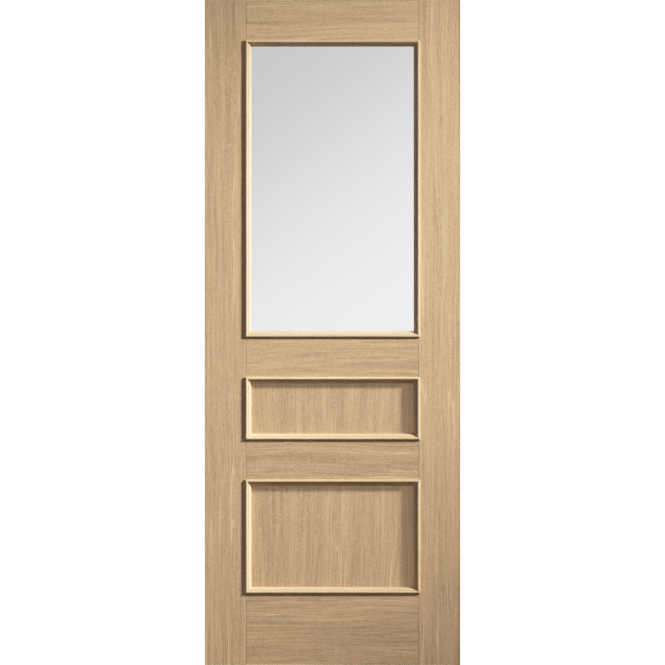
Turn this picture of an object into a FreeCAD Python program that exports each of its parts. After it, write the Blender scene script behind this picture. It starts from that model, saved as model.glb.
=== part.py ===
import FreeCAD
import Part

import math
import os

from FreeCAD import Placement, Rotation, Vector

# Half glazed oak door leaf: two stiles and four rails of veneered engineered timber with
# solid oak lippings round the outside, a glazed opening over two flat panels, and mitred
# raised mouldings that cover the edges of all three openings on both faces.
# Frame: X runs from the hanging edge to the lock edge, Z is up, and the front faces -Y.
# The origin is at the foot of the hanging edge, in the middle of the thickness.

# Leaf, millimetres
door_height = 1981.0
door_width = 762.0
door_thickness = 35.0

# Stiles and rails, each with its lipping counted in
stile_width = 124.0
top_rail_depth = 124.0
mid_rail_depth = 124.0
lower_rail_depth = 124.0
bottom_rail_depth = 217.0
lipping_thickness = 7.0
edge_round = 1.5
joint_vee = 0.5

# Openings for the two panels; the glazed opening takes the height that is left
middle_opening_height = 181.0
bottom_opening_height = 333.0

# Infills
panel_thickness = 9.0
panel_gap = 2.0
glass_thickness = 6.0
glass_gap = 3.0
tape_thickness = 1.5
tape_setback = 2.5

# Section of the raised moulding
moulding_cover = 4.5
moulding_reach = 15.5
moulding_rise = 6.5
crest_land = 1.6
bead_radius = 4.6
bead_turn_degrees = 75.0
quirk_depth = 0.9
fillet_width = 1.4
ovolo_bulge = 1.3
toe_height = 3.5

# Worked out from the values above
half_thickness = door_thickness / 2
opening_width = door_width - 2 * stile_width
bottom_opening_foot = bottom_rail_depth
lower_rail_foot = bottom_opening_foot + bottom_opening_height
middle_opening_foot = lower_rail_foot + lower_rail_depth
mid_rail_foot = middle_opening_foot + middle_opening_height
glazed_opening_foot = mid_rail_foot + mid_rail_depth
top_rail_foot = door_height - top_rail_depth
glazed_opening_height = top_rail_foot - glazed_opening_foot
panel_half = panel_thickness / 2
glass_half = glass_thickness / 2
glazing_half = glass_half + tape_thickness

# Each opening: its name, the height of its foot, its height, and how far the backs of its
# mouldings stand from the middle of the thickness
openings = (
    ("glass", glazed_opening_foot, glazed_opening_height, glazing_half),
    ("middle_panel", middle_opening_foot, middle_opening_height, panel_half),
    ("bottom_panel", bottom_opening_foot, bottom_opening_height, panel_half),
)


def block(x_low, x_high, y_half, z_low, z_high):
    """A box that is centred on the middle of the door's thickness."""
    corner = Vector(x_low, -y_half, z_low)
    return Part.makeBox(x_high - x_low, 2 * y_half, z_high - z_low, corner)


def upright_edges(shape, x):
    """The straight edges of a shape that stand upright at one x."""
    tolerance = Part.Precision.confusion()
    found = []
    for edge in shape.Edges:
        start, end = [vertex.Point for vertex in edge.Vertexes]
        at_x = abs(start.x - x) < tolerance and abs(end.x - x) < tolerance
        upright = abs(start.z - end.z) > tolerance
        if at_x and upright:
            found.append(edge)
    return found


# Stiles and rails

def stile_core(x_low, x_high):
    """The veneered core of a stile, over the full height of the door."""
    return block(x_low, x_high, half_thickness, 0, door_height)


def stile_lipping(x_low, x_high, outer_x):
    """A solid oak strip down the outer edge of a stile, with both arrises rounded."""
    strip = block(x_low, x_high, half_thickness, 0, door_height)
    return strip.makeFillet(edge_round, upright_edges(strip, outer_x))


def rail(z_low, z_high):
    """A rail between the stiles, with a fine vee at each end of both faces."""
    x_low = stile_width
    x_high = door_width - stile_width
    board = block(x_low, x_high, half_thickness, z_low, z_high)
    ends = upright_edges(board, x_low) + upright_edges(board, x_high)
    return board.makeChamfer(joint_vee, ends)


# Infills

def infill_sheet(foot, height, thickness, gap):
    """A flat sheet that stands in an opening with a gap all round its edge."""
    x_low = stile_width + gap
    x_high = door_width - stile_width - gap
    return block(x_low, x_high, thickness / 2, foot + gap, foot + height - gap)


def glazing_tape(facing):
    """The tape round one face of the glass: facing is -1 on the front and 1 on the back."""
    inner_edge = moulding_reach - tape_setback
    border = infill_sheet(glazed_opening_foot, glazed_opening_height, tape_thickness, glass_gap)
    sight = infill_sheet(glazed_opening_foot, glazed_opening_height, door_thickness, inner_edge)
    tape = border.cut(sight)
    tape.translate(Vector(0, facing * (glass_half + tape_thickness / 2), 0))
    return tape


# Raised mouldings

def arc(start, middle, end):
    return Part.Arc(start, middle, end).toShape()


def moulding_section(back):
    """The moulding's section, in a plane where Y runs into the opening from the edge of the
    stile or rail and Z runs outwards from the middle of the door's thickness.

    A rebate sits over that edge. The section rises from a square lip in a quarter round to a
    narrow flat crest, and falls inwards over a bead, a quirk, a flat fillet and a long ovolo
    to the toe.
    """
    def at(reach, out):
        return Vector(0, reach, out)

    face = half_thickness
    crest_out = face + moulding_rise

    # The outer round is as wide as the cover and ends in line with the edge below it
    half_way = math.radians(45)
    lip_top = at(-moulding_cover, crest_out - moulding_cover)
    round_middle = at(
        -moulding_cover * math.sin(half_way),
        crest_out - moulding_cover * (1 - math.cos(half_way)),
    )
    round_end = at(0, crest_out)

    # The bead turns down from the crest to the quirk
    bead_turn = math.radians(bead_turn_degrees)

    def on_bead(turn):
        sideways = bead_radius * math.sin(turn)
        drop = bead_radius * (1 - math.cos(turn))
        return at(crest_land + sideways, crest_out - drop)

    bead_start = on_bead(0)
    bead_end = on_bead(bead_turn)
    quirk = at(bead_end.y, bead_end.z - quirk_depth)
    ovolo_start = at(quirk.y + fillet_width, quirk.z)
    toe_top = at(moulding_reach, back + toe_height)

    # The ovolo swells outwards from the chord between its ends
    chord = toe_top - ovolo_start
    outwards = at(-chord.z, chord.y).normalize()
    ovolo_middle = (ovolo_start + toe_top) * 0.5 + outwards * ovolo_bulge

    corners = (at(moulding_reach, back), at(0, back), at(0, face), at(-moulding_cover, face))
    edges = [
        Part.makeLine(corners[3], lip_top),
        arc(lip_top, round_middle, round_end),
        Part.makeLine(round_end, bead_start),
        arc(bead_start, on_bead(bead_turn / 2), bead_end),
        Part.makeLine(bead_end, quirk),
        Part.makeLine(quirk, ovolo_start),
        arc(ovolo_start, ovolo_middle, toe_top),
        Part.makeLine(toe_top, corners[0]),
    ]
    edges += [Part.makeLine(a, b) for a, b in zip(corners, corners[1:])]
    return Part.Face(Part.Wire(edges))


def mitred_length(edge_length, back):
    """One length of moulding along an edge of an opening, centred on X = 0 in the section's
    own frame, with both ends cut at 45 degrees through the corners of the opening."""
    half_length = edge_length / 2 + moulding_cover
    section = moulding_section(back)
    section.translate(Vector(-half_length, 0, 0))
    bar = section.extrude(Vector(2 * half_length, 0, 0))

    # A block with a sloping end each way keeps what is between the mitres. It starts in the
    # middle of the door and reaches past the section on every other side
    near = -2 * moulding_cover
    far = 2 * moulding_reach
    plan = [
        Vector(-edge_length / 2 + near, near, 0),
        Vector(edge_length / 2 - near, near, 0),
        Vector(edge_length / 2 - far, far, 0),
        Vector(-edge_length / 2 + far, far, 0),
    ]
    depth = door_thickness + moulding_rise
    mitre_block = Part.Face(Part.makePolygon(plan + plan[:1])).extrude(Vector(0, 0, depth))
    return bar.common(mitre_block)


def moulding_set(foot, height, back, facing):
    """The four lengths round one opening on one face, by the side that each stands on."""
    outwards = Vector(0, facing, 0)
    middle_x = door_width / 2
    middle_z = foot + height / 2
    lock_side_x = door_width - stile_width
    # The length of each edge, the middle of that edge, and the way into the opening from it
    sides = {
        "top": (opening_width, Vector(middle_x, 0, foot + height), Vector(0, 0, -1)),
        "bottom": (opening_width, Vector(middle_x, 0, foot), Vector(0, 0, 1)),
        "hinge_side": (height, Vector(stile_width, 0, middle_z), Vector(1, 0, 0)),
        "lock_side": (height, Vector(lock_side_x, 0, middle_z), Vector(-1, 0, 0)),
    }
    lengths = {}
    for side, (edge_length, middle, inwards) in sides.items():
        length = mitred_length(edge_length, back)
        along = inwards.cross(outwards)
        length.Placement = Placement(middle, Rotation(along, inwards, outwards, "ZYX"))
        lengths[side] = length
    return lengths


# Assembly: every piece by the name of its node

lock_core_edge = door_width - lipping_thickness
pieces = {
    "hanging_stile": stile_core(lipping_thickness, stile_width),
    "hanging_stile_lipping": stile_lipping(0, lipping_thickness, 0),
    "lock_stile": stile_core(door_width - stile_width, lock_core_edge),
    "lock_stile_lipping": stile_lipping(lock_core_edge, door_width, door_width),
    "top_rail": rail(top_rail_foot, door_height - lipping_thickness),
    "top_rail_lipping": rail(door_height - lipping_thickness, door_height),
    "mid_rail": rail(mid_rail_foot, mid_rail_foot + mid_rail_depth),
    "lower_rail": rail(lower_rail_foot, lower_rail_foot + lower_rail_depth),
    "bottom_rail": rail(lipping_thickness, bottom_rail_depth),
    "bottom_rail_lipping": rail(0, lipping_thickness),
    "glass_pane": infill_sheet(
        glazed_opening_foot, glazed_opening_height, glass_thickness, glass_gap
    ),
    "front_glazing_tape": glazing_tape(-1),
    "back_glazing_tape": glazing_tape(1),
    "middle_panel": infill_sheet(
        middle_opening_foot, middle_opening_height, panel_thickness, panel_gap
    ),
    "bottom_panel": infill_sheet(
        bottom_opening_foot, bottom_opening_height, panel_thickness, panel_gap
    ),
}
for face_name, facing in (("front", -1), ("back", 1)):
    for opening_name, foot, height, back in openings:
        for side, length in moulding_set(foot, height, back, facing).items():
            pieces[f"{face_name}_{opening_name}_moulding_{side}"] = length

os.makedirs("parts", exist_ok=True)
for name, shape in pieces.items():
    shape.exportStep(f"parts/{name}.step")
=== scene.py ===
import math

import bpy
from mathutils import Matrix, Vector


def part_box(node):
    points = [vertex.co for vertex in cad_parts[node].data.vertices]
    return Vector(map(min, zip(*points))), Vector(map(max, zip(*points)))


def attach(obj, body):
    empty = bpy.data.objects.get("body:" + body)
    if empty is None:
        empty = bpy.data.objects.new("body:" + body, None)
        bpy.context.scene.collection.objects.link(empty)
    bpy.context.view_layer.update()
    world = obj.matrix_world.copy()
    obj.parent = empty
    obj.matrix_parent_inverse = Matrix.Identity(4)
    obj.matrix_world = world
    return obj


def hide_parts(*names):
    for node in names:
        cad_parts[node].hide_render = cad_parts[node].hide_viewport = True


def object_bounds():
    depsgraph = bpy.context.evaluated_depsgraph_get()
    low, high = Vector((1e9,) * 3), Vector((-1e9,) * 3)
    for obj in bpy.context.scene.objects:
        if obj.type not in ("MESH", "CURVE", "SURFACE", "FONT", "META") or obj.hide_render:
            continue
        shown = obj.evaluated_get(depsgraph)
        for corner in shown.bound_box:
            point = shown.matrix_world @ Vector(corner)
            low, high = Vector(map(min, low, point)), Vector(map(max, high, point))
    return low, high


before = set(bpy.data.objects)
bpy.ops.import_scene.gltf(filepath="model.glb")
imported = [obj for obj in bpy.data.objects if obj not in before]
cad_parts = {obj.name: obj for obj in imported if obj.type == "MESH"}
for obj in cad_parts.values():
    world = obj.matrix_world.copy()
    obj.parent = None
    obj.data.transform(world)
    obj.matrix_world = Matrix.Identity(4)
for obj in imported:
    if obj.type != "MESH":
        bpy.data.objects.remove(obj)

cad_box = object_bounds()

# Stiles and rails
# The frame of the leaf: two full-height stiles with four rails dowelled and glued between
# them. Each has a laminated core with oak veneer on both faces, straight along its length.

LIGHT_OAK = (0.740, 0.484, 0.257, 1)
PALE_OAK = (0.600, 0.392, 0.209, 1)
MIDDLE_OAK = (0.510, 0.334, 0.176, 1)
WARM_OAK = (0.430, 0.281, 0.145, 1)
BROWN_OAK = (0.335, 0.219, 0.112, 1)
PORE_BROWN = (0.42, 0.33, 0.25, 1)
leaf_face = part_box("lock_stile")[1].y
opening_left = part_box("hanging_stile")[1].x
opening_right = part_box("lock_stile")[0].x
opening_middle = (opening_left + opening_right) / 2
opening_half = (opening_right - opening_left) / 2


def add(tree, kind, inputs=(), **settings):
    """Adds a node to a tree; each input is a value or another node's output."""
    node = tree.nodes.new(kind)
    for name, value in settings.items():
        setattr(node, name, value)
    for name, value in dict(inputs).items():
        if isinstance(value, bpy.types.NodeSocket):
            tree.links.new(value, node.inputs[name])
        else:
            node.inputs[name].default_value = value
    return node


def maths(tree, operation, *values):
    """One sum on values or other nodes' outputs."""
    return add(tree, "ShaderNodeMath", dict(enumerate(values)), operation=operation).outputs[0]


def mixed(tree, share, colour, other, blend="MIX"):
    """One colour with a share of another."""
    inputs = {0: share, 6: colour, 7: other}
    return add(tree, "ShaderNodeMix", inputs, data_type="RGBA", blend_type=blend).outputs[2]


def along_axis(tree, vector, axis):
    """One part of a vector."""
    return add(tree, "ShaderNodeSeparateXYZ", {0: vector}).outputs[axis]


def ranged(tree, value, low, high, to_low=0.0, to_high=1.0):
    """Takes a value from one range to another and holds it inside."""
    inputs = {"Value": value, "From Min": low, "From Max": high, "To Min": to_low, "To Max": to_high}
    return add(tree, "ShaderNodeMapRange", inputs).outputs[0]


def stretched_noise(tree, place, across, along, detail=2.0, output="Fac"):
    """Noise with so many features to a metre across the grain and along it."""
    scaled = add(tree, "ShaderNodeMapping", {"Vector": place, "Scale": (across, across, along)})
    inputs = {"Vector": scaled.outputs[0], "Scale": 1, "Detail": detail}
    return add(tree, "ShaderNodeTexNoise", inputs).outputs[output]


def toned(tree, tone, stops):
    """Colours a tone by stops, each a place on the scale and its colour, the darkest first."""
    ramp = add(tree, "ShaderNodeValToRGB", {"Fac": tone})
    scale = ramp.color_ramp.elements
    for stop, (place, colour) in zip(scale, (stops[0], stops[-1])):
        stop.position = place
        stop.color = colour
    for place, colour in stops[1:-1]:
        scale.new(place).color = colour
    return ramp.outputs[0]


# How far from the joint the dark of the vee, and the painted highlight along the stile's inner edge, hold
# and then end
VEE_SPREAD = (0.0005, 0.0016)
JOINT_DARK = 0.65
EDGE_HIGHLIGHT_SPREAD = (0.0055, 0.0065)
EDGE_HIGHLIGHT = 0.4


def jointed(tree, colour, place):
    """Darkens the vee where a rail meets a stile and paints a highlight along the stile's inner edge
    beside it.
    """
    off_middle = maths(tree, "SUBTRACT", along_axis(tree, place, "X"), opening_middle)
    onto_stile = maths(tree, "SUBTRACT", maths(tree, "ABSOLUTE", off_middle), opening_half)
    on_stile = maths(tree, "GREATER_THAN", onto_stile, 0.0)
    # painted highlight: a pale strip along the stile's inner edge, where its arris would catch the light
    strip = maths(tree, "MULTIPLY", ranged(tree, onto_stile, *EDGE_HIGHLIGHT_SPREAD, EDGE_HIGHLIGHT, 0), on_stile)
    from_joint = maths(tree, "ABSOLUTE", onto_stile)
    vee = ranged(tree, from_joint, *VEE_SPREAD, JOINT_DARK, 0)
    return mixed(tree, vee, mixed(tree, strip, colour, PALE_OAK), BROWN_OAK, "MULTIPLY")


PALE_STAVE = (0.590, 0.405, 0.228, 1)
DARK_STAVE = (0.455, 0.302, 0.163, 1)
STAVE_WIDTH = 0.029
STAVE_ROW = 3 * leaf_face
GLUE_LINE = 0.0004
VENEER = 0.0008
core_half = leaf_face - VENEER
END_PORES = 700
END_PORE_RANGE = (0.45, 0.70)
END_PORE_DARK = 0.6
END_FACING = (0.8, 0.9)


def on_end(tree):
    """One on the top and the foot of a piece, and nothing on its other sides."""
    normal = add(tree, "ShaderNodeTexCoord").outputs["Normal"]
    upward = maths(tree, "ABSOLUTE", along_axis(tree, normal, "Z"))
    return ranged(tree, upward, *END_FACING)


def sawn_end(tree, colour, place):
    """Shows the glued staves of the core on a board's ends, between two edges of veneer."""
    one_row = add(tree, "ShaderNodeMapping", {"Vector": place, "Location": (0, leaf_face, 0)}).outputs[0]
    inputs = {"Vector": one_row, "Scale": 1, "Brick Width": STAVE_WIDTH, "Row Height": STAVE_ROW}
    inputs |= {"Color1": PALE_STAVE, "Color2": DARK_STAVE, "Mortar": BROWN_OAK, "Mortar Size": GLUE_LINE}
    staves = add(tree, "ShaderNodeTexBrick", inputs).outputs["Color"]
    pores = stretched_noise(tree, place, END_PORES, END_PORES)
    pored = ranged(tree, pores, *END_PORE_RANGE, 0, END_PORE_DARK)
    staves = mixed(tree, pored, staves, PORE_BROWN, "MULTIPLY")
    from_middle = maths(tree, "ABSOLUTE", along_axis(tree, place, "Y"))
    glue = maths(tree, "COMPARE", from_middle, core_half, GLUE_LINE)
    in_core = maths(tree, "LESS_THAN", from_middle, core_half)
    sawn = mixed(tree, in_core, colour, mixed(tree, glue, staves, BROWN_OAK))
    return mixed(tree, on_end(tree), colour, sawn)


GRAIN_TURN = {"Z": (0, 0, 0), "X": (0, math.pi / 2, 0)}

# Features to a metre, across the grain and along it
SWAY = (6, 2.5)
BANDS = (30, 1.2)
STREAKS = (260, 2.5)
LINES = (420, 7)
DASHES = (420, 36)
FLECKS = (400, 230)
GROWTH = (60, 0.6)
PITS = (2400, 130)

# What bands, streaks, lines, dashes and flecks each count for in the tone
GRAIN_WEIGHTS = (0.44, 0.64, 0.72, 0.52, 1.14)
OAK_STOPS = ((0.12, BROWN_OAK), (0.36, WARM_OAK), (0.54, MIDDLE_OAK), (0.80, PALE_OAK))

# Pale growth lines show in the lighter bands, and pits crowd together in the darker streaks
GROWTH_LINE = 0.010
GROWTH_BANDS = (0.46, 0.56)
GROWTH_PALE = 0.75
PIT_EDGE = (0.58, 0.70)
CROWD_STREAKS = (0.62, 0.38)
CROWD_RANGE = (0.1, 0.6)
SANDED_TO_PORE = (0.56, 0.8)
GRAIN_BUMP = 0.25
GRAIN_DEPTH = 0.0004


def node_material(name):
    """A new material, its nodes and its shader."""
    material = bpy.data.materials.new(name)
    material.use_nodes = True
    return material, material.node_tree, material.node_tree.nodes["Principled BSDF"]


def weighed(tree, layers, weights):
    """Adds layers of noise up, each by its weight, about a middle tone of one half."""
    total = 0.5 - sum(weights) / 2
    for layer, weight in zip(layers, weights):
        total = maths(tree, "MULTIPLY_ADD", layer, weight, total)
    return total


def oak(name, grain, wander, joints=False, dull_ends=False):
    """Sanded oak with its grain along X or Z: bands of growth, streaks, fibres and open pores.
    Joints shows where boards meet, with a painted highlight along the stile's inner edge, and dull ends
    are left as the saw leaves them."""
    material, tree, shader = node_material(name)
    place = add(tree, "ShaderNodeTexCoord").outputs["Object"]
    turned = add(tree, "ShaderNodeMapping", {"Vector": place, "Rotation": GRAIN_TURN[grain]}).outputs[0]
    sway = stretched_noise(tree, turned, *SWAY, detail=1, output="Color")
    inputs = {0: sway, 1: (wander, wander / 2, 0), 2: turned}
    bent = add(tree, "ShaderNodeVectorMath", inputs, operation="MULTIPLY_ADD").outputs[0]

    bands = stretched_noise(tree, bent, *BANDS)
    streaks = stretched_noise(tree, bent, *STREAKS)
    lines = stretched_noise(tree, bent, *LINES)
    dashes = stretched_noise(tree, bent, *DASHES)
    flecks = stretched_noise(tree, bent, *FLECKS)
    figure = weighed(tree, (bands, streaks, lines, dashes, flecks), GRAIN_WEIGHTS)
    # each board's own tone, with painted light and shade drifting along it
    own_tone_and_shade = add(tree, "ShaderNodeAttribute", attribute_name="board_tone").outputs["Fac"]
    tone = maths(tree, "ADD", figure, own_tone_and_shade)

    growth = stretched_noise(tree, bent, *GROWTH, detail=1)
    growth_line = maths(tree, "COMPARE", growth, 0.5, GROWTH_LINE)
    in_band = ranged(tree, bands, *GROWTH_BANDS, 0, GROWTH_PALE)
    pale = maths(tree, "MULTIPLY", growth_line, in_band)
    colour = mixed(tree, pale, toned(tree, tone, OAK_STOPS), LIGHT_OAK)

    pits = ranged(tree, stretched_noise(tree, bent, *PITS, detail=0), *PIT_EDGE)
    crowd = ranged(tree, streaks, *CROWD_STREAKS, *CROWD_RANGE)
    pores = maths(tree, "MULTIPLY", pits, crowd)
    colour = mixed(tree, pores, colour, PORE_BROWN, "MULTIPLY")
    if joints:
        colour = sawn_end(tree, jointed(tree, colour, place), place)

    height = maths(tree, "MULTIPLY_ADD", pores, -1.0, tone)
    inputs = {"Strength": GRAIN_BUMP, "Distance": GRAIN_DEPTH, "Height": height}
    bump = add(tree, "ShaderNodeBump", inputs).outputs[0]
    tree.links.new(colour, shader.inputs["Base Color"])
    rough = ranged(tree, pores, 0, 1, *SANDED_TO_PORE)
    if dull_ends:
        rough = maths(tree, "MAXIMUM", rough, on_end(tree))
    tree.links.new(rough, shader.inputs["Roughness"])
    tree.links.new(bump, shader.inputs["Normal"])
    return material


JOINT_EASE = 0.0005
ARRIS_STEPS = 4
SHARP_CORNER = math.radians(30)
FLAT = 0.9999


def finished(mesh):
    """Smooth over the rounds, sharp at the corners, in the scene at its own place."""
    mesh.shade_smooth()
    mesh.set_sharp_from_angle(angle=SHARP_CORNER)
    piece = bpy.data.objects.new(mesh.name, mesh)
    bpy.context.scene.collection.objects.link(piece)
    return piece


def corner_arc(x, y, turn_x, turn_y, ease, start):
    """Points round one corner of a board's plan, anticlockwise from a start angle."""
    steps = ARRIS_STEPS if ease else 0
    centre = (x + turn_x * ease, y + turn_y * ease)
    turns = [math.radians(start + 90 * step / ARRIS_STEPS) for step in range(steps + 1)]
    return [(centre[0] + ease * math.cos(turn), centre[1] + ease * math.sin(turn)) for turn in turns]


def board(node, left_ease, right_ease, tones=(0, 0, 0)):
    """A board that fills a node's box, with its four upright arrises rounded off. Its tone drifts from one
    end through the middle to the other:
    painted light and shade that follow the raking lamp's fall-off along the board."""
    low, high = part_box(node)
    plan = corner_arc(low.x, low.y, 1, 1, left_ease, 180)
    plan += corner_arc(high.x, low.y, -1, 1, right_ease, 270)
    plan += corner_arc(high.x, high.y, -1, -1, right_ease, 0)
    plan += corner_arc(low.x, high.y, 1, -1, left_ease, 90)
    count = len(plan)
    levels = (low.z, (low.z + high.z) / 2, high.z)
    points = [Vector((x, y, z)) for z in levels for x, y in plan]
    faces = [tuple(reversed(range(count))), tuple(range(2 * count, 3 * count))]
    for index in range(2 * count):
        after = index + 1 if (index + 1) % count else index + 1 - count
        faces.append((index, after, count + after, count + index))
    mesh = bpy.data.meshes.new(node + "_board")
    mesh.from_pydata(points, [], faces)
    piece = finished(mesh)
    for polygon in mesh.polygons:
        polygon.use_smooth = max(abs(part) for part in polygon.normal) < FLAT

    size = high - low
    length = 2 if size.z > size.x else 0
    shares = [(point[length] - low[length]) / size[length] for point in points]
    # painted light and shade: the tone drifts along the board with the raking lamp's fall-off
    drift = mesh.attributes.new("board_tone", "FLOAT", "POINT")
    for value, share in zip(drift.data, shares):
        nearer_end = tones[0] if share < 0.5 else tones[2]
        value.value = tones[1] + (nearer_end - tones[1]) * abs(2 * share - 1)
    return piece


def fit(piece, node, material):
    """Gives a finished piece its material and puts it in its node's place."""
    piece.data.materials.append(material)
    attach(piece, "root")
    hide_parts(node)


# Each board has its own tone, with painted light and shade that run from the foot up a stile, and from the
# hanging edge along a rail
upright_veneer = oak("oak_veneer_upright", "Z", wander=0.035, joints=True, dull_ends=True)
level_veneer = oak("oak_veneer_level", "X", wander=0.045, joints=True, dull_ends=True)
hanging_board = board("hanging_stile", 0, JOINT_EASE, tones=(-0.08, 0.06, -0.02))
fit(hanging_board, "hanging_stile", upright_veneer)
lock_board = board("lock_stile", JOINT_EASE, 0, tones=(0.05, 0.02, 0.05))
fit(lock_board, "lock_stile", upright_veneer)
rail_tones_and_shade = {
    "top_rail": (0.05, 0.08, 0.11),
    "mid_rail": (0.04, -0.03, -0.10),
    "lower_rail": (-0.11, -0.10, -0.09),
    "bottom_rail": (-0.13, -0.09, -0.05),
}
for rail, tones in rail_tones_and_shade.items():
    fit(board(rail, JOINT_EASE, JOINT_EASE, tones), rail, level_veneer)

# Edge lippings
# Strips of solid oak glued round the outside of the leaf, so that it can be trimmed to its
# frame. The long outer arrises of the stiles are rounded over.

OUTER_ROUND = 0.0015
upright_lipping = oak("oak_lipping_upright", "Z", wander=0.004, dull_ends=True)
level_lipping = oak("oak_lipping_level", "X", wander=0.004, dull_ends=True)
hanging_strip = board("hanging_stile_lipping", OUTER_ROUND, 0)
fit(hanging_strip, "hanging_stile_lipping", upright_lipping)
lock_strip = board("lock_stile_lipping", 0, OUTER_ROUND)
fit(lock_strip, "lock_stile_lipping", upright_lipping)
for strip in ("top_rail_lipping", "bottom_rail_lipping"):
    fit(board(strip, JOINT_EASE, JOINT_EASE), strip, level_lipping)

# Panels
# Two flat panels under the glass: thin board with oak veneer on both faces, the grain
# upright, held all round between the front and back mouldings.


def coat(node, material):
    """Gives a solid its finish."""
    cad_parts[node].data.materials.clear()
    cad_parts[node].data.materials.append(material)


panel_veneer = oak("oak_panel_veneer", "Z", wander=0.04)
coat("middle_panel", panel_veneer)
coat("bottom_panel", panel_veneer)

# Glass and glazing tape
# One pane of clear toughened glass, with the faint waves that the rollers of the furnace
# leave, bedded on a strip of brown foam tape on each face so that the mouldings grip it.

GLASS_TINT = (0.975, 0.985, 0.980, 1)
GLASS_IOR = 1.5
SMEARS = (14, 9)
SMEAR_DETAIL = 4
SMEAR_RANGE = (0.45, 0.75)
HAZE = 0.02
ROLLER_WAVES = 1.2
ROLLER_SLIP = 1.5
ROLLER_DEPTH = 0.00005
glass, glass_tree, glass_shader = node_material("clear_glass")
glass_shader.inputs["Base Color"].default_value = GLASS_TINT
glass_shader.inputs["Transmission Weight"].default_value = 1
glass_shader.inputs["IOR"].default_value = GLASS_IOR
glass_place = add(glass_tree, "ShaderNodeTexCoord").outputs["Object"]
smears = stretched_noise(glass_tree, glass_place, *SMEARS, detail=SMEAR_DETAIL)
haze = ranged(glass_tree, smears, *SMEAR_RANGE, 0, HAZE)
glass_tree.links.new(haze, glass_shader.inputs["Roughness"])
inputs = {"Vector": glass_place, "Scale": ROLLER_WAVES, "Distortion": ROLLER_SLIP}
waves = add(glass_tree, "ShaderNodeTexWave", inputs, bands_direction="Z").outputs["Fac"]
ripple = add(glass_tree, "ShaderNodeBump", {"Distance": ROLLER_DEPTH, "Height": waves}).outputs[0]
glass_tree.links.new(ripple, glass_shader.inputs["Normal"])
coat("glass_pane", glass)

FOAM_CELLS = 2500
FOAM_STOPS = ((0, (0.10, 0.07, 0.045, 1)), (1, (0.20, 0.14, 0.09, 1)))
FOAM_ROUGH = 0.85
tape, tape_tree, tape_shader = node_material("glazing_tape_foam")
tape_place = add(tape_tree, "ShaderNodeTexCoord").outputs["Object"]
cells = stretched_noise(tape_tree, tape_place, FOAM_CELLS, FOAM_CELLS)
tape_tree.links.new(toned(tape_tree, cells, FOAM_STOPS), tape_shader.inputs["Base Color"])
tape_shader.inputs["Roughness"].default_value = FOAM_ROUGH
coat("front_glazing_tape", tape)
coat("back_glazing_tape", tape)

# Raised mouldings
# Lengths of solid oak with a rebate that laps over the edge of the stile or rail, mitred at
# the corners and pinned round each opening. They hold the glass and the panels in place.

# The lip stops this far short of the solid's, and its round meets the crest inside the opening
LIP_TRIM = 0.0012
CREST_START = 0.001
CREST_LAND = 0.0006
BEAD_RADIUS = 0.0046
BEAD_TURN = math.radians(75)
QUIRK_DEPTH = 0.0009
FILLET_WIDTH = 0.002
OVOLO_BULGE = 0.0013
TOE_HEIGHT = 0.0035
MITRE_GAP = 0.0001
ARC_STEPS = 12


def arc_between(start, end, bulge):
    """Points on an arc from start to end that swells by bulge to the left of its chord."""
    chord = end - start
    half = chord.length / 2
    radius = (half ** 2 + bulge ** 2) / (2 * bulge)
    side = Vector((-chord.y, chord.x)).normalized()
    centre = (start + end) / 2 + side * (bulge - radius)
    sweep = 2 * math.asin(half / radius)
    spoke = start - centre
    turns = [-sweep * step / ARC_STEPS for step in range(ARC_STEPS + 1)]
    return [centre + Matrix.Rotation(turn, 2) @ spoke for turn in turns]


def bulge_of(radius, turn):
    """How far an arc of that radius and turn swells from its chord."""
    return radius * (1 - math.cos(turn / 2))


def moulding_section(cover, reach, face, crest_out, back):
    """The moulding's outline: across into the opening, then out from the leaf's middle."""
    lip_round = cover + CREST_START
    lip_top = Vector((-cover, crest_out - lip_round))
    round_end = Vector((CREST_START, crest_out))
    bead_start = round_end + Vector((CREST_LAND, 0))
    bead_drop = BEAD_RADIUS * (1 - math.cos(BEAD_TURN))
    bead_end = bead_start + Vector((BEAD_RADIUS * math.sin(BEAD_TURN), -bead_drop))
    quirk = bead_end - Vector((0, QUIRK_DEPTH))
    ovolo_start = quirk + Vector((FILLET_WIDTH, 0))
    toe_top = Vector((reach, back + TOE_HEIGHT))
    outline = arc_between(lip_top, round_end, bulge_of(lip_round, math.pi / 2))
    outline += arc_between(bead_start, bead_end, bulge_of(BEAD_RADIUS, BEAD_TURN))
    outline += [quirk]
    outline += arc_between(ovolo_start, toe_top, OVOLO_BULGE)
    outline += [Vector((reach, back)), Vector((0, back)), Vector((0, face)), Vector((-cover, face))]
    return outline


def section_curve(outline):
    """A closed curve through the outline, turned half round because the sweep turns it back."""
    curve = bpy.data.curves.new("moulding_section", "CURVE")
    curve.dimensions = "3D"
    spline = curve.splines.new("POLY")
    spline.points.add(len(outline) - 1)
    for point, place in zip(spline.points, reversed(outline)):
        point.co = (-place.x, -place.y, 0, 1)
    spline.use_cyclic_u = True
    section = bpy.data.objects.new(curve.name, curve)
    bpy.context.scene.collection.objects.link(section)
    return section


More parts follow.
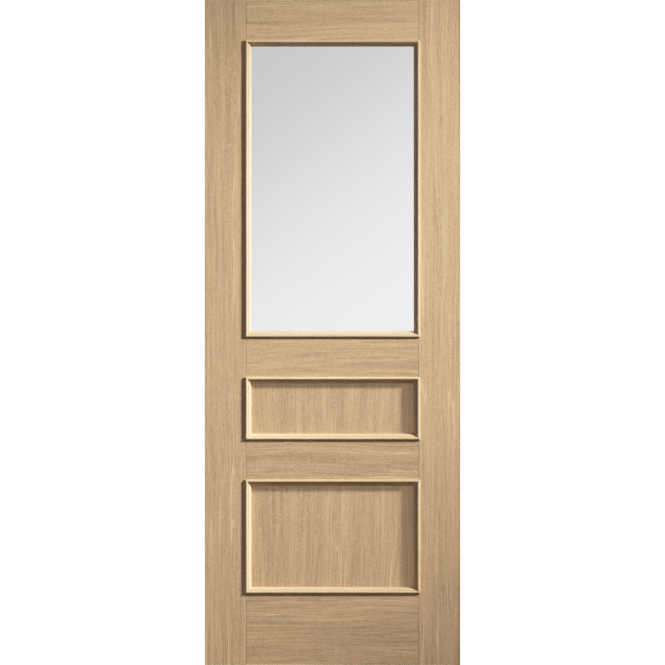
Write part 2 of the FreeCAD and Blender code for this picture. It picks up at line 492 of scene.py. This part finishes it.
def mitred_sweep():
    """Sweeps a section along an edge of the opening and shears both ends to 45 degrees."""
    tree = bpy.data.node_groups.new("mitred_moulding", "GeometryNodeTree")
    tree.interface.new_socket("Section", in_out="INPUT", socket_type="NodeSocketObject")
    tree.interface.new_socket("Half Length", in_out="INPUT", socket_type="NodeSocketFloat")
    tree.interface.new_socket("Mitre Gap", in_out="INPUT", socket_type="NodeSocketFloat")
    tree.interface.new_socket("Finish", in_out="INPUT", socket_type="NodeSocketMaterial")
    tree.interface.new_socket("Moulding", in_out="OUTPUT", socket_type="NodeSocketGeometry")
    given = add(tree, "NodeGroupInput").outputs
    half_length = given["Half Length"]
    section = add(tree, "GeometryNodeObjectInfo", {"Object": given["Section"]}).outputs["Geometry"]
    start = add(tree, "ShaderNodeCombineXYZ", {"X": maths(tree, "MULTIPLY", half_length, -1.0)}).outputs[0]
    end = add(tree, "ShaderNodeCombineXYZ", {"X": half_length}).outputs[0]
    line = add(tree, "GeometryNodeCurvePrimitiveLine", {"Start": start, "End": end}).outputs[0]
    level = add(tree, "GeometryNodeSetCurveNormal", {"Curve": line}, mode="Z_UP").outputs[0]
    inputs = {"Curve": level, "Profile Curve": section, "Fill Caps": True}
    bar = add(tree, "GeometryNodeCurveToMesh", inputs).outputs[0]

    position = add(tree, "GeometryNodeInputPosition").outputs[0]
    place = add(tree, "ShaderNodeSeparateXYZ", {0: position}).outputs
    mitred = maths(tree, "SUBTRACT", half_length, place["Y"])
    mitred = maths(tree, "SUBTRACT", mitred, given["Mitre Gap"])
    share = maths(tree, "DIVIDE", mitred, half_length)
    along = maths(tree, "MULTIPLY", place["X"], share)
    moved = add(tree, "ShaderNodeCombineXYZ", {"X": along, "Y": place["Y"], "Z": place["Z"]}).outputs[0]
    cut = add(tree, "GeometryNodeSetPosition", {"Geometry": bar, "Position": moved}).outputs[0]
    real = add(tree, "GeometryNodeRealizeInstances", {0: cut}).outputs[0]
    inputs = {"Geometry": real, "Material": given["Finish"]}
    coated = add(tree, "GeometryNodeSetMaterial", inputs).outputs[0]
    add(tree, "NodeGroupOutput", {0: coated})
    return tree


def moulding_length(node, tree, section, half_length, finish):
    """One mitred length as a plain mesh, in the section's own frame."""
    host = bpy.data.objects.new("moulding_host", bpy.data.meshes.new("moulding_host"))
    bpy.context.scene.collection.objects.link(host)
    modifier = host.modifiers.new("Mitred moulding", "NODES")
    modifier.node_group = tree
    values = {"Section": section, "Half Length": half_length, "Mitre Gap": MITRE_GAP, "Finish": finish}
    for socket in tree.interface.items_tree:
        if socket.name in values:
            modifier[socket.identifier] = values[socket.name]
    shaped = host.evaluated_get(bpy.context.evaluated_depsgraph_get())
    mesh = bpy.data.meshes.new_from_object(shaped)
    mesh.name = node + "_length"
    bpy.data.objects.remove(host)
    return mesh


moulding_tree = mitred_sweep()
upright_moulding = oak("oak_moulding_upright", "Z", wander=0.004)
level_moulding = oak("oak_moulding_level", "X", wander=0.004)
opening_width = opening_right - opening_left
openings = {
    "glass": ("mid_rail", "top_rail"),
    "middle_panel": ("lower_rail", "mid_rail"),
    "bottom_panel": ("bottom_rail", "lower_rail"),
}
for side_of_leaf, facing in (("front", -1), ("back", 1)):
    outwards = Vector((0, facing, 0))
    for opening, (rail_below, rail_above) in openings.items():
        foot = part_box(rail_below)[1].z
        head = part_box(rail_above)[0].z
        height = head - foot
        middle_z = (foot + head) / 2
        low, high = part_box(f"{side_of_leaf}_{opening}_moulding_bottom")
        back, crest_out = sorted((abs(low.y), abs(high.y)))
        cover = foot - low.z - LIP_TRIM
        outline = moulding_section(cover, high.z - foot, leaf_face, crest_out, back)
        section = section_curve(outline)
        edges = {
            "top": (opening_width, (opening_middle, 0, head), (0, 0, -1), level_moulding),
            "bottom": (opening_width, (opening_middle, 0, foot), (0, 0, 1), level_moulding),
            "hinge_side": (height, (opening_left, 0, middle_z), (1, 0, 0), upright_moulding),
            "lock_side": (height, (opening_right, 0, middle_z), (-1, 0, 0), upright_moulding),
        }
        for edge, (length, middle, inwards, finish) in edges.items():
            node = f"{side_of_leaf}_{opening}_moulding_{edge}"
            inwards = Vector(inwards)
            axes = Matrix((inwards.cross(outwards), inwards, outwards)).transposed().to_4x4()
            mesh = moulding_length(node, moulding_tree, section, length / 2, finish)
            mesh.transform(Matrix.Translation(middle) @ axes)
            piece = finished(mesh)
            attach(piece, "root")
            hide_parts(node)
        bpy.data.objects.remove(section)

# Studio
# A pale floor and a white surround. One lamp rakes across each face of the leaf from the
# upper right, softer ones light its two long edges, and the surround fills the shadows.

centre = (cad_box[0] + cad_box[1]) / 2
FRAME_LAMP = Vector((5.238, -2.219, 3.933))
FRAME_AIM = Vector((-1.4, 0, 0.097))
FRAME_CONE = math.radians(30.5)
FRAME_POWER = 5370
MOULDING_AIM = Vector((-6, 0, -2.5))
MOULDING_CONE = math.radians(36.6)
MOULDING_POWER = 11000
HANGING_EDGE_LAMP = Vector((-0.407, -3.419, 5.502))
HANGING_EDGE_AIM = Vector((0.004, 0, -0.677))
HANGING_EDGE_CONE = math.radians(39.8)
HANGING_EDGE_POWER = 2600
LOCK_EDGE_LAMP = Vector((2.439, -4.801, 7.087))
LOCK_EDGE_AIM = Vector((0.758, 0, 1.139))
LOCK_EDGE_CONE = math.radians(12.7)
LOCK_EDGE_POWER = 5500
PANEL_LAMP = Vector((7.4, -2.5, 4.45))
PANEL_AIM = Vector((0.3, 0, 2.1))
PANEL_CONE = math.radians(40)
PANEL_POWER = 8100
LAMP_RADIUS = 0.47
PANEL_FILL_LAMP = Vector((0.381, -6, 0.6))
PANEL_FILL_AIM = Vector((0.381, 0, 0.6))
PANEL_FILL_SIZE = 2
PANEL_FILL_POWER = 129
PANEL_FILL_COLOUR = (1.0, 0.95, 0.86)


def receivers(name, pieces):
    """The pieces that a lamp lights."""
    group = bpy.data.collections.new(name)
    for piece in pieces:
        group.objects.link(piece)
    return group


def hang(name, light, place, aim, lit):
    """Puts a lamp in its place, turned to its aim, for the pieces that it lights."""
    holder = bpy.data.objects.new(name, light)
    holder.location = place
    holder.rotation_euler = (aim - place).to_track_quat("-Z", "Y").to_euler()
    holder.visible_camera = False
    holder.visible_transmission = False
    bpy.context.scene.collection.objects.link(holder)
    holder.light_linking.receiver_collection = lit


def raking_lamp(name, power, cone, place, aim, lit):
    """A lamp whose light falls off softly from the middle of its cone."""
    light = bpy.data.lights.new(name, "SPOT")
    light.energy = power
    light.spot_size = cone
    light.spot_blend = 1
    light.shadow_soft_size = LAMP_RADIUS
    hang(name, light, place, aim, lit)


def soft_lamp(name, power, place, aim, lit):
    """A wide warm panel of light that throws no clear shadow."""
    light = bpy.data.lights.new(name, "AREA")
    light.energy = power
    light.size = PANEL_FILL_SIZE
    light.color = PANEL_FILL_COLOUR
    hang(name, light, place, aim, lit)


def behind(point):
    """The same point for the other face, straight through the leaf."""
    return Vector((point.x, 2 * centre.y - point.y, point.z))


panels = [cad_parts["middle_panel"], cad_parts["bottom_panel"]]
pieces = [piece for piece in bpy.context.scene.objects if piece.type == "MESH"]
mouldings = [piece for piece in pieces if piece.name.endswith("_length")]
others = [piece for piece in pieces if piece not in panels + mouldings + [hanging_strip, lock_strip]]
hanging_lit = receivers("hanging_edge_lit", [hanging_strip])
lock_lit = receivers("lock_edge_lit", [lock_strip])
frame_lit = receivers("frame_lit", others)
panels_lit = receivers("panels_lit", panels)
for side_of_leaf, turn in (("front", Vector), ("back", behind)):
    own_mouldings = [piece for piece in mouldings if piece.name.startswith(side_of_leaf)]
    mouldings_lit = receivers(side_of_leaf + "_mouldings_lit", own_mouldings)
    lamps = {
        "frame_lamp": (FRAME_POWER, FRAME_CONE, FRAME_LAMP, FRAME_AIM, frame_lit),
        "moulding_lamp": (MOULDING_POWER, MOULDING_CONE, FRAME_LAMP, MOULDING_AIM, mouldings_lit),
        "hanging_edge_lamp": (
            HANGING_EDGE_POWER, HANGING_EDGE_CONE, HANGING_EDGE_LAMP, HANGING_EDGE_AIM, hanging_lit),
        "lock_edge_lamp": (LOCK_EDGE_POWER, LOCK_EDGE_CONE, LOCK_EDGE_LAMP, LOCK_EDGE_AIM, lock_lit),
        "panel_lamp": (PANEL_POWER, PANEL_CONE, PANEL_LAMP, PANEL_AIM, panels_lit),
    }
    for lamp, (power, cone, place, aim, lit) in lamps.items():
        raking_lamp(f"{side_of_leaf}_{lamp}", power, cone, turn(place), turn(aim), lit)
    place = turn(PANEL_FILL_LAMP)
    soft_lamp(side_of_leaf + "_panel_fill", PANEL_FILL_POWER, place, PANEL_FILL_AIM, panels_lit)

# What is seen through the pane darkens towards the upper left
PANE_SLANT = (5.2, 0, -7.4)
SLANT_RANGE = (-0.27, 0.036)
PANE_TONES = (0.68, 1.28)
LEFT_FILL = (0.358, 0.362, 0.404, 1)
RIGHT_FILL = (0.157, 0.159, 0.177, 1)
WHITE = 2.5


def through_pane(tree, path):
    """One for a ray that has come straight through the pane, and nothing for others."""
    straight = maths(tree, "LESS_THAN", path["Diffuse Depth"], 0.5)
    return maths(tree, "MULTIPLY", path["Is Transmission Ray"], straight)


world = bpy.data.worlds.new("white_surround")
bpy.context.scene.world = world
world.use_nodes = True
surround = world.node_tree
path = add(surround, "ShaderNodeLightPath").outputs
direction = add(surround, "ShaderNodeTexCoord").outputs["Generated"]
inputs = {0: direction, 1: PANE_SLANT}
slant = add(surround, "ShaderNodeVectorMath", inputs, operation="DOT_PRODUCT").outputs["Value"]
inputs = {"Value": slant, "From Min": SLANT_RANGE[0], "From Max": SLANT_RANGE[1]}
inputs |= {"To Min": PANE_TONES[0], "To Max": PANE_TONES[1]}
seen = add(surround, "ShaderNodeMapRange", inputs, interpolation_type="SMOOTHSTEP").outputs[0]
rightward = ranged(surround, along_axis(surround, direction, "X"), -1, 1)
fill = mixed(surround, rightward, LEFT_FILL, RIGHT_FILL)
shade = mixed(surround, through_pane(surround, path), fill, seen)
shade = mixed(surround, path["Is Camera Ray"], shade, (WHITE, WHITE, WHITE, 1))
surround.links.new(shade, surround.nodes["Background"].inputs["Color"])

FLOOR_HALF = 12
FLOOR_GREY = (0.56, 0.56, 0.56, 1)
FLOOR_ROUGH = 0.9
FLOOR_THROUGH_PANE = 0.87
floor_mesh = bpy.data.meshes.new("floor")
corners = [(-FLOOR_HALF, -FLOOR_HALF, 0), (FLOOR_HALF, -FLOOR_HALF, 0)]
corners += [(FLOOR_HALF, FLOOR_HALF, 0), (-FLOOR_HALF, FLOOR_HALF, 0)]
floor_mesh.from_pydata(corners, [], [(0, 1, 2, 3)])
floor = bpy.data.objects.new("floor", floor_mesh)
bpy.context.scene.collection.objects.link(floor)
pale, pale_tree, pale_shader = node_material("pale_floor")
pale_shader.inputs["Base Color"].default_value = FLOOR_GREY
pale_shader.inputs["Roughness"].default_value = FLOOR_ROUGH
pale_shader.inputs["Emission Color"].default_value = (1, 1, 1, 1)
path = add(pale_tree, "ShaderNodeLightPath").outputs
glow = ranged(pale_tree, through_pane(pale_tree, path), 0, 1, 0, FLOOR_THROUGH_PANE)
glow = add(pale_tree, "ShaderNodeMix", {0: path["Is Camera Ray"], 2: glow, 3: WHITE}).outputs[0]
pale_tree.links.new(glow, pale_shader.inputs["Emission Strength"])
floor_mesh.materials.append(pale)

# Camera
# Straight on to the front at half height, from far enough off to keep the edges parallel.
# The leaf fills the picture from top to bottom.

LENS = 500
SENSOR = 36
FILL_FRAME = 0.9985
camera_data = bpy.data.cameras.new("camera")
camera_data.lens = LENS
camera_data.sensor_width = SENSOR
camera = bpy.data.objects.new("camera", camera_data)
distance = FILL_FRAME * centre.z / (SENSOR / 2 / LENS)
camera.location = (centre.x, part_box("lock_stile")[0].y - distance, centre.z)
camera.rotation_euler = (math.pi / 2, 0, 0)
bpy.context.scene.collection.objects.link(camera)
bpy.context.scene.camera = camera

# The film's response is straight up to the knee and rolls off softly from there to its top
KNEE = 0.30
FILM_TOP = 3.0
FILM_STEPS = 12
roll_off = (FILM_TOP - KNEE) / (1 - KNEE)
film = bpy.context.scene.view_settings
film.view_transform = "Standard"
film.use_curve_mapping = True
film.curve_mapping.clip_max_x = FILM_TOP
response = film.curve_mapping.curves[3]
response.points[1].location = (FILM_TOP, 1)
for step in range(FILM_STEPS):
    share = step / FILM_STEPS
    response.points.new(KNEE + share * (FILM_TOP - KNEE), 1 - (1 - KNEE) * (1 - share) ** roll_off)
film.curve_mapping.update()
